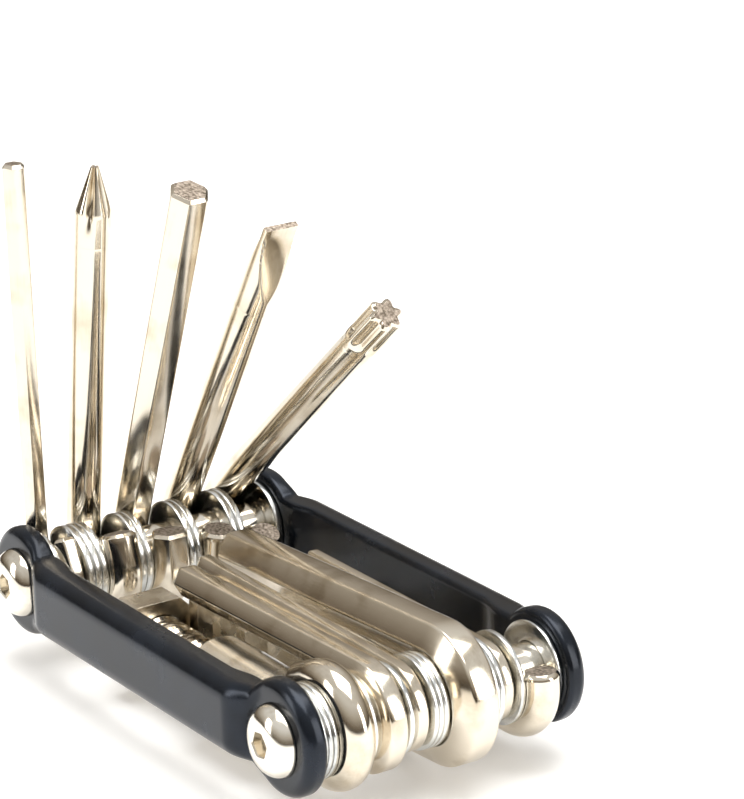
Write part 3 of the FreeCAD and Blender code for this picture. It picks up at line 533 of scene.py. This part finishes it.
def star_radius(left, angle):
    """Six-lobed tip with round flutes and a small chamfer at the end."""
    depth = STAR_DEPTH * soft_step((STAR_LENGTH - left) / STAR_FADE)
    lobe = 0.5 + 0.5 * math.cos(6 * angle)
    chamfer = STAR_CHAMFER * max(1 - left / STAR_CHAMFER_LENGTH, 0.0)
    return ROD * (1 - depth * (1 - lobe)) - chamfer


def tip_mesh(name, rule, length, level):
    """Rings from the tip back along the shaft, closer together near the point."""
    verts = []
    for step in range(TIP_ALONG + 1):
        left = length * (step / TIP_ALONG) ** TIP_CROWDING
        for i in range(TIP_AROUND):
            angle = 2 * math.pi * (i + 0.5) / TIP_AROUND
            radius = rule(left, angle)
            verts.append(((REACH - left) * MM, radius * math.cos(angle) * MM,
                          (level + radius * math.sin(angle)) * MM))
    mesh = bpy.data.meshes.new(name)
    mesh.from_pydata(verts, [], stack_faces(TIP_ALONG + 1, TIP_AROUND))
    return mesh


# %% Drivers and the adapter
TIP_OVERLAP = 0.6
for node, body, angle, rule, length in (
        ("phillips_driver", "phillips", 80.0, cross_radius, 11.0),
        ("flat_driver", "flat", 57.0, blade_radius, 14.6),
        ("star_driver", "star", 40.0, star_radius, 9.0)):
    shaft = REACH - length + TIP_OVERLAP
    stub_way = angle + WRAP + 180.0
    finish = metal(node + "_nickel", NICKEL, NICKEL_DARK, 0.13, turn=angle, edge=0.05,
                   grain_depth=0.0014, cuts=((-PIVOT_X, 0.0, stub_way, STUB),
                                            (-PIVOT_X, 0.0, angle, REACH)))
    place = bar_matrix(node, FIRST, angle)
    values = {"Bar radius": ROD * MM, "Sides": ROUND_SIDES, "Corner round": 0.0,
              "Bend radius": (SLEEVE + ROD) * MM, "Wrap": math.radians(WRAP),
              "Stub": STUB * MM, "Shaft": shaft * MM, "Chamfer": CHAMFER * MM,
              "Points": ROD_POINTS}
    rod_part = grow(node + "_rod", single_point(node), BAR, BAR_IDENT, values, finish, place)
    mesh = tip_mesh(node + "_tip", rule, length, SLEEVE + ROD)
    mesh.transform(place)
    tip = finish_mesh(node + "_tip", mesh, finish)
    for piece in (rod_part, tip):
        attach(piece, body)
        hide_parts(node)
assign(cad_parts["hex_adapter_8"],
       metal("adapter_nickel", NICKEL, NICKEL_DARK, 0.2, edge=0.2))

# %% [markdown]
# ## Washers
# Thin zinc washers keep the loops apart. They are all alike, so one ring is swept from a
# rounded rectangle and placed at every point of a list.

# %% Washers
WASHER_RADIUS, WASHER_ROUND, WASHER_SIDES = 6.3, 0.14, 64


def washer_tree():
    """One ring swept from a rounded rectangle, placed at every point of a mesh."""
    tree, ident, start, end = new_tree("washers", [
        ("Middle radius", "NodeSocketFloat"), ("Width", "NodeSocketFloat"),
        ("Thickness", "NodeSocketFloat"), ("Edge round", "NodeSocketFloat")])
    out = start.outputs
    path = add(tree, "GeometryNodeCurvePrimitiveCircle",
               {"Resolution": WASHER_SIDES, "Radius": out["Middle radius"]},
               mode="RADIUS")
    section = add(tree, "GeometryNodeCurvePrimitiveQuadrilateral",
                  {"Width": out["Width"], "Height": out["Thickness"]})
    soft = add(tree, "GeometryNodeFilletCurve",
               {"Curve": section.outputs[0], "Radius": out["Edge round"], "Count": 2},
               mode="POLY")
    ring = add(tree, "GeometryNodeCurveToMesh",
               {"Curve": path.outputs[0], "Profile Curve": soft.outputs[0]})
    placed = add(tree, "GeometryNodeInstanceOnPoints",
                 {"Points": out["Geometry"], "Instance": ring.outputs[0],
                  "Rotation": (math.radians(90), 0, 0)})
    close_tree(tree, placed.outputs[0], start, end)
    return tree, ident


WASHERS, WASHER_IDENT = washer_tree()


def solid_centres(node):
    """Middle and size of each separate solid in a node of the model."""
    work = bmesh.new()
    work.from_mesh(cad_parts[node].data)
    bmesh.ops.remove_doubles(work, verts=work.verts, dist=1e-6)
    left, centres = set(work.verts), []
    while left:
        group, queue = [], [left.pop()]
        while queue:
            vert = queue.pop()
            group.append(vert.co.copy())
            for edge in vert.link_edges:
                other = edge.other_vert(vert)
                if other in left:
                    left.remove(other)
                    queue.append(other)
        low = Vector(min(p[i] for p in group) for i in range(3))
        high = Vector(max(p[i] for p in group) for i in range(3))
        centres.append(((low + high) / 2, high - low))
    work.free()
    return centres


for node in ("washers_1", "washers_2"):
    found = solid_centres(node)
    points = bpy.data.meshes.new(node + "_points")
    points.from_pydata([tuple(centre) for centre, _ in found], [], [])
    wall = found[0][1].y
    rings = grow(node + "_rings", points, WASHERS, WASHER_IDENT, {
        "Middle radius": (WASHER_RADIUS + SLEEVE) / 2 * MM,
        "Width": (WASHER_RADIUS - SLEEVE) * MM,
        "Thickness": wall, "Edge round": WASHER_ROUND * MM}, zinc)
    print(node, len(found), "washers, wall %.2f mm" % (wall / MM))
    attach(rings, "frame")
    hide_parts(node)

# %% [markdown]
# ## Screws
# The button heads are turned with a smooth dome and a punched hexagon. We make one head
# by joining rings that change from the hexagon to a circle, and let a tree set the four
# copies, each facing away from its plate.

# %% One domed head
SOCKET_HALF, SOCKET_FLOOR, SOCKET_TOP = 1.5, 0.95, 2.3
SOCKET_CONE, SOCKET_EDGE, SOCKET_TURN = 0.75, 0.15, 1.04
HEAD_SIDES = 48
# Radius and height of the dome from the socket's rim down to the shank.
DOME = ((2.25, 2.5), (2.6, 2.46), (3.1, 2.32), (3.55, 2.11), (3.95, 1.84), (4.3, 1.48),
        (4.58, 1.04), (4.76, 0.62), (4.86, 0.3), (4.84, 0.08), (4.7, 0.0), (2.5, 0.0),
        (2.5, -3.0))


def screw_mesh():
    """Head along +Z with its seat at z = 0, and a short shank below."""
    angles = [2 * math.pi * i / HEAD_SIDES for i in range(HEAD_SIDES)]

    def hexagon(angle):
        part = (angle + math.pi / 6) % (math.pi / 3) - math.pi / 6
        return SOCKET_HALF * MM / math.cos(part)

    def circle_row(radius, z):
        return [(radius * MM * math.cos(a), radius * MM * math.sin(a), z * MM)
                for a in angles]

    def hexagon_row(grow_by, z):
        return [((hexagon(a) + grow_by * MM) * math.cos(a),
                 (hexagon(a) + grow_by * MM) * math.sin(a), z * MM)
                for a in angles]

    rows = [[(x * 0.25, y * 0.25, z) for x, y, z in hexagon_row(0, SOCKET_CONE)],
            hexagon_row(0, SOCKET_FLOOR),
            hexagon_row(0, SOCKET_TOP),
            hexagon_row(SOCKET_EDGE, SCREW_RISE - 0.03)]
    rows += [circle_row(radius, z) for radius, z in DOME]
    verts = [point for row in rows for point in row]
    mesh = bpy.data.meshes.new("screw_head")
    mesh.from_pydata(verts, [], stack_faces(len(rows), HEAD_SIDES))
    return mesh


# %% Four screws
def screw_tree():
    """A head at every seat, facing away from the middle and turned at random."""
    tree, ident, start, end = new_tree("screws", [("Head", "NodeSocketObject"),
                                                  ("Turn seed", "NodeSocketInt")])
    out = start.outputs
    head = add(tree, "GeometryNodeObjectInfo", {"Object": out["Head"]})
    place = add(tree, "GeometryNodeInputPosition").outputs[0]
    side = add(tree, "ShaderNodeSeparateXYZ", {0: place}).outputs["Y"]
    away = add(tree, "ShaderNodeCombineXYZ", {"Y": side}).outputs[0]
    facing = add(tree, "FunctionNodeAlignEulerToVector", {"Vector": away}, axis="Z")
    turn = add(tree, "FunctionNodeRandomValue",
               {"Min": (0, 0, 0), "Max": (0, 0, SOCKET_TURN), "Seed": out["Turn seed"]},
               data_type="FLOAT_VECTOR").outputs[0]
    both = add(tree, "FunctionNodeRotateEuler",
               {"Rotation": facing.outputs[0], "Rotate By": turn}, space="LOCAL")
    placed = add(tree, "GeometryNodeInstanceOnPoints",
                 {"Points": out["Geometry"], "Instance": head.outputs["Geometry"],
                  "Rotation": both.outputs[0]})
    close_tree(tree, placed.outputs[0], start, end)
    return tree, ident


head_object = bpy.data.objects.new("screw_pattern", screw_mesh())
bpy.context.scene.collection.objects.link(head_object)
SCREWS, SCREW_IDENT = screw_tree()
seats = bpy.data.meshes.new("screw_seats")
seats.from_pydata([(sx * PIVOT_X * MM, sy * SEAT_Y * MM, 0)
                   for sx in (-1, 1) for sy in (-1, 1)], [], [])
screws = grow("button_screws", seats, SCREWS, SCREW_IDENT,
              {"Head": head_object, "Turn seed": 3}, hardware)
bpy.data.objects.remove(head_object)
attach(screws, "frame")
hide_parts("pivot_screws")

# %% [markdown]
# ## The threaded spindle
# The push pin is driven by a fine thread, one millimetre to the turn. A helix path and a
# small V section give the thread by rule, on a plain turned core.

# %% Spindle thread
SPINDLE_START, SPINDLE_END = -17.6, 3.6
THREAD_DEPTH, THREAD_CREST, THREAD_GAP = 0.46, 0.44, 0.5
POINTS_PER_TURN, TURNED_SIDES = 28, 48
# Place along the axis and radius of the drive nub, the neck and the plain core.
SPINDLE_PROFILE = (
    (-4.0, 0.3), (-4.0, 0.9), (-3.2, 1.85), (-3.0, 1.9), (-1.5, 1.9), (-1.3, 1.8),
    (-0.9, 1.3), (0.0, 1.3), (0.0, 3.2), (0.3, 3.5), (21.0, 3.5), (21.2, 3.3), (21.2, 0.3))


def thread_tree():
    """A helix with a pointed section on a plain core, both along +Z."""
    tree, ident, start, end = new_tree("spindle_thread", [
        ("Turns", "NodeSocketFloat"), ("Core radius", "NodeSocketFloat"),
        ("Length", "NodeSocketFloat"), ("Crest", "NodeSocketFloat")])
    out = start.outputs
    helix = add(tree, "GeometryNodeCurveSpiral",
                {"Resolution": POINTS_PER_TURN, "Rotations": out["Turns"],
                 "Start Radius": out["Core radius"], "End Radius": out["Core radius"],
                 "Height": out["Length"]})
    tooth = add(tree, "GeometryNodeCurvePrimitiveCircle",
                {"Resolution": 4, "Radius": out["Crest"]}, mode="RADIUS")
    ridge = add(tree, "GeometryNodeCurveToMesh",
                {"Curve": helix.outputs[0], "Profile Curve": tooth.outputs[0],
                 "Fill Caps": True})
    core = add(tree, "GeometryNodeMeshCylinder",
               {"Vertices": TURNED_SIDES, "Radius": out["Core radius"],
                "Depth": out["Length"]})
    middle = add(tree, "ShaderNodeCombineXYZ",
                 {"Z": math_node(tree, "MULTIPLY", out["Length"], 0.5)}).outputs[0]
    raised = add(tree, "GeometryNodeTransform",
                 {"Geometry": core.outputs["Mesh"], "Translation": middle})
    joined = tree.nodes.new("GeometryNodeJoinGeometry")
    tree.links.new(ridge.outputs[0], joined.inputs[0])
    tree.links.new(raised.outputs[0], joined.inputs[0])
    close_tree(tree, joined.outputs[0], start, end)
    return tree, ident


spindle_low, spindle_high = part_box("chain_tool_spindle")
spindle_y = (spindle_low.y + spindle_high.y) / 2
spindle_z = (spindle_low.z + spindle_high.z) / 2
THREAD, THREAD_IDENT = thread_tree()
thread_length = SPINDLE_END - SPINDLE_START - 2 * THREAD_GAP
thread_start = (SPINDLE_START + THREAD_GAP) * MM
thread_place = (Matrix.Translation((thread_start, spindle_y, spindle_z))
                @ Matrix.Rotation(math.pi / 2, 4, "Y"))
thread = grow("spindle_thread", single_point("thread_seed"), THREAD, THREAD_IDENT, {
    "Turns": thread_length / THREAD_PITCH,
    "Core radius": (SPINDLE_RADIUS - THREAD_DEPTH) * MM,
    "Length": thread_length * MM, "Crest": THREAD_CREST * MM},
    metal("spindle_steel", NICKEL, "85765f", 0.16, edge=0.05, grain=(1.4, 1.4, 1.4)),
    thread_place)


def turned_piece(name, profile, material, x0):
    """Solid of revolution about the spindle's axis; profile is (x, radius) in millimetres."""
    verts = []
    for x, radius in profile:
        for i in range(TURNED_SIDES):
            a = 2 * math.pi * i / TURNED_SIDES
            verts.append(((x0 + x) * MM, spindle_y + radius * MM * math.cos(a),
                          spindle_z + radius * MM * math.sin(a)))
    mesh = bpy.data.meshes.new(name)
    mesh.from_pydata(verts, [], stack_faces(len(profile), TURNED_SIDES))
    return finish_mesh(name, mesh, material)


nub = turned_piece("spindle_ends", SPINDLE_PROFILE, satin, SPINDLE_START)
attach(thread, "spindle")
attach(nub, "spindle")
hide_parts("chain_tool_spindle")
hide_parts("chain_tool_spindle")

# %% [markdown]
# ## The chain tool's sheet and block
# The sheet is bent from satin-plated steel and rolled into a round hood. The seam where
# the rolled sheet closes is a dark, slightly uneven line along the hood.

# %% Hood seam
SEAM_ANGLE = math.radians(62)
SEAM_HALF, SEAM_WOBBLE, WOBBLE_SCALE = 0.16, 0.7, 900.0
SEAM_LOWEST, SEAM_FROM = 0.5, 3.6


def seamed_satin():
    """Satin sheet with the dark line where the rolled hood closes."""
    material = metal("seamed_satin_nickel", "e2dacb", "bdb19d", 0.22,
                     grain=(0.12, 1.4, 1.4), edge=0.15)
    tree = material.node_tree
    shader = tree.nodes["Principled BSDF"]
    place = add(tree, "ShaderNodeTexCoord").outputs["Object"]
    axis = add(tree, "ShaderNodeVectorMath", {0: place, 1: (0, spindle_y, spindle_z)},
               operation="SUBTRACT").outputs[0]
    parts = add(tree, "ShaderNodeSeparateXYZ", {0: axis}).outputs
    wobble = add(tree, "ShaderNodeTexNoise",
                 {"Vector": place, "Scale": WOBBLE_SCALE, "Detail": 2.0}).outputs["Fac"]
    off = math_node(tree, "SUBTRACT",
                    math_node(tree, "MULTIPLY", parts["Y"], math.sin(SEAM_ANGLE)),
                    math_node(tree, "MULTIPLY", parts["Z"], math.cos(SEAM_ANGLE)))
    centred = math_node(tree, "SUBTRACT", wobble, 0.5)
    off = math_node(tree, "ADD", off,
                    math_node(tree, "MULTIPLY", centred, SEAM_WOBBLE * MM))
    line = math_node(tree, "LESS_THAN", math_node(tree, "ABSOLUTE", off), SEAM_HALF * MM)
    upper = math_node(tree, "GREATER_THAN", parts["Z"], SEAM_LOWEST * MM)
    outer = math_node(tree, "GREATER_THAN", parts["X"], SEAM_FROM * MM)
    mask = math_node(tree, "MULTIPLY", line, math_node(tree, "MULTIPLY", upper, outer))
    old = shader.inputs["Base Color"].links[0].from_socket
    mixed = add(tree, "ShaderNodeMix", {0: mask, 6: old, 7: linear("2c2218")},
                data_type="RGBA").outputs[2]
    tree.links.new(mixed, shader.inputs["Base Color"])
    return material


assign(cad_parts["chain_tool_frame"], seamed_satin())
for node in ("chain_tool_block", "chain_tool_cradle"):
    assign(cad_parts[node], satin)
# The plug's face is browner and rougher than the sheet round it.
assign(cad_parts["chain_tool_plug"],
       metal("plug_face", "c9b79c", "8d7c65", 0.3, grain=(1.2, 1.2, 1.2), edge=0.3))
assign(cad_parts["chain_tool_pin"], hardware)
for node in ("pivot_sleeve_1", "pivot_sleeve_2"):
    assign(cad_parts[node], hardware)
print("hood seam at %.0f degrees above the hood's side" % math.degrees(SEAM_ANGLE))

# %% [markdown]
# ## Side plates by rule
# A plate is forged with round lugs, a bar that swells outward between them and soft edges
# all round. Its height above the plate's plane depends only on the place: how far it is
# from the outline gives the rounding, and how far along the bar gives the swelling.

# %% Side plates
LUG_RADIUS, BAR_HALF = 7.7, 5.2
INNER_FACE, OUTER_FACE = 18.2, 21.2
SWELL, RELIEF, SEAT_RADIUS, SEAT_SLOPE = 2.3, 0.9, 5.6, 3.0
SWELL_START, SWELL_RUN = 30.6, 6.4
RELIEF_START, RELIEF_RUN = 25.3, 5.0
OUTER_ROUND, INNER_ROUND, EXTRA_ROUND, MOST_ROUND = 1.5, 0.8, 0.9, 2.2
PLATE_COLUMNS, PLATE_ROWS, PLATE_TRIM = 320, 44, 0.002


def edge_distance(x, z):
    """Distance in from the outline of two lugs joined by a bar."""
    lug = LUG_RADIUS - math.hypot(abs(x) - PIVOT_X, z)
    bar = BAR_HALF - abs(z) if abs(x) < PIVOT_X else -1.0
    return max(lug, bar)


def half_height(x):
    """Half of the plate's height at a place along it."""
    beyond = abs(x) - PIVOT_X
    lug = math.sqrt(max(LUG_RADIUS ** 2 - beyond ** 2, 0.0))
    return max(lug, BAR_HALF if beyond < 0 else 0.0)


def rounding(distance, radius):
    """Drop of a rounded edge at a distance in from the outline."""
    short = min(max(radius - distance, 0.0), radius)
    return radius - math.sqrt(radius * radius - short * short)


def outer_height(x, z):
    """The outer face's distance from the middle of the tool."""
    swell = SWELL * soft_step((SWELL_START - abs(x)) / SWELL_RUN)
    top = OUTER_FACE + swell
    from_pivot = math.hypot(abs(x) - PIVOT_X, z)
    seat = OUTER_FACE + max(from_pivot - SEAT_RADIUS, 0.0) * SEAT_SLOPE
    round_here = OUTER_ROUND + EXTRA_ROUND * swell / SWELL
    return min(top, seat) - min(rounding(edge_distance(x, z), round_here), MOST_ROUND)


def inner_height(x, z):
    """The inner face's distance from the middle of the tool."""
    inward = RELIEF * soft_step((RELIEF_START - abs(x)) / RELIEF_RUN)
    return INNER_FACE + inward + rounding(edge_distance(x, z), INNER_ROUND)


def plate_mesh(name, side):
    """Two grids of points, the outer face and the inner one, joined round their rims."""
    columns, rows = PLATE_COLUMNS, PLATE_ROWS
    length = PIVOT_X + LUG_RADIUS - PLATE_TRIM
    verts = []
    for face in (outer_height, inner_height):
        for i in range(columns + 1):
            x = length * math.sin(math.pi / 2 * (2 * i / columns - 1))
            for j in range(rows + 1):
                z = half_height(x) * math.sin(math.pi / 2 * (2 * j / rows - 1))
                verts.append((x * MM, side * face(x, z) * MM, z * MM))
    back = (columns + 1) * (rows + 1)

    def at(i, j):
        return i * (rows + 1) + j

    faces = []
    for i in range(columns):
        for j in range(rows):
            quad = (at(i, j), at(i + 1, j), at(i + 1, j + 1), at(i, j + 1))
            faces.append(quad)
            faces.append(tuple(back + v for v in reversed(quad)))
        for j in (0, rows):
            faces.append((at(i, j), at(i + 1, j), back + at(i + 1, j), back + at(i, j)))
    for j in range(rows):
        for i in (0, columns):
            faces.append((at(i, j), at(i, j + 1), back + at(i, j + 1), back + at(i, j)))
    mesh = bpy.data.meshes.new(name)
    mesh.from_pydata(verts, [], faces)
    return mesh


for node, side in (("side_plate_a", -1), ("side_plate_b", 1)):
    plate = finish_mesh(node + "_forged", plate_mesh(node + "_forged", side), plate_finish)
    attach(plate, "frame")
    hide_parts(node)

# %% [markdown]
# ## Floor, light and camera
# Bright metal shows only what stands round it. Three large soft lamps give it pale bands,
# and the dimmer part of the surroundings gives the dark ones between them. The floor is
# plain and pale.

# %% Floor and surroundings
FLOOR_Z = cad_box[0].z
FLOOR_REACH = 3.0
PAPER_GLOW = 0.18
SKY_STRENGTH = 0.8
floor_mesh = bpy.data.meshes.new("floor")
floor_mesh.from_pydata([(-FLOOR_REACH, -FLOOR_REACH, FLOOR_Z),
                        (FLOOR_REACH, -FLOOR_REACH, FLOOR_Z),
                        (FLOOR_REACH, FLOOR_REACH, FLOOR_Z),
                        (-FLOOR_REACH, FLOOR_REACH, FLOOR_Z)], [], [(0, 1, 2, 3)])
floor = bpy.data.objects.new("floor", floor_mesh)
bpy.context.scene.collection.objects.link(floor)
paper = bpy.data.materials.new("pale_paper")
paper.use_nodes = True
paper_inputs = paper.node_tree.nodes["Principled BSDF"].inputs
paper_inputs["Base Color"].default_value = linear("f7f6f4")
paper_inputs["Roughness"].default_value = 0.9
paper_inputs["Emission Color"].default_value = (1, 1, 1, 1)
paper_inputs["Emission Strength"].default_value = PAPER_GLOW
assign(floor, paper)

world = bpy.data.worlds.new("studio")
bpy.context.scene.world = world
world.use_nodes = True
sky = world.node_tree
direction = add(sky, "ShaderNodeTexCoord").outputs["Generated"]
upward = add(sky, "ShaderNodeSeparateXYZ", {0: direction}).outputs["Z"]
# A direction's height runs from -1 to 1, and the ramp reads 0 to 1.
height = add(sky, "ShaderNodeMath", {0: upward, 1: 0.5, 2: 0.5},
             operation="MULTIPLY_ADD").outputs[0]
bands = ramp(sky, height, [
    (0.46, "d9d3c8"), (0.515, "3d352b"), (0.57, "85796a"), (0.7, "cfc8bd"), (0.86, "fbfaf8")])
sky.nodes["Background"].inputs["Strength"].default_value = SKY_STRENGTH
sky.links.new(bands, sky.nodes["Background"].inputs["Color"])
print("floor %.2f mm below the pivots" % (-FLOOR_Z / MM))


# %% Lamps
def soft_lamp(name, place, size, power):
    """Rectangular lamp that points at the middle of the tool."""
    lamp = bpy.data.lights.new(name, "AREA")
    lamp.shape = "RECTANGLE"
    lamp.size, lamp.size_y = size
    lamp.energy = power
    obj = bpy.data.objects.new(name, lamp)
    obj.location = place
    obj.rotation_euler = (-Vector(place)).to_track_quat("-Z", "Y").to_euler()
    bpy.context.scene.collection.objects.link(obj)
    print(name, power, "W")


soft_lamp("top_lamp", (0.05, 0.05, 0.6), (0.5, 0.5), 4.4)
soft_lamp("left_lamp", (-0.25, -0.65, 0.3), (0.22, 0.5), 1.9)
soft_lamp("right_lamp", (0.6, 0.35, 0.25), (0.2, 0.5), 1.7)

# %% Camera
CAMERA_AT = Vector((0.37236, -0.22593, 0.17623))
RIGHT = Vector((0.53078, 0.84675, -0.03596)).normalized()
UP = Vector((-0.30031, 0.22759, 0.92629)).normalized()
SENSOR = 36.0
FOCAL_LENGTH = 157.97
SHIFT = (0.1188, 0.2759)
camera_data = bpy.data.cameras.new("camera")
camera_data.sensor_fit = "VERTICAL"
camera_data.sensor_height = SENSOR
camera_data.lens = FOCAL_LENGTH
camera_data.shift_x, camera_data.shift_y = SHIFT
camera_data.clip_start = 0.01
camera = bpy.data.objects.new("camera", camera_data)
back = RIGHT.cross(UP)
turn = Matrix((RIGHT, UP, back)).transposed().to_4x4()
camera.matrix_world = Matrix.Translation(CAMERA_AT) @ turn
bpy.context.scene.collection.objects.link(camera)
bpy.context.scene.camera = camera
bpy.context.scene.view_settings.view_transform = "Standard"
print("camera %.0f mm from the tool's middle" % (CAMERA_AT.length / MM))
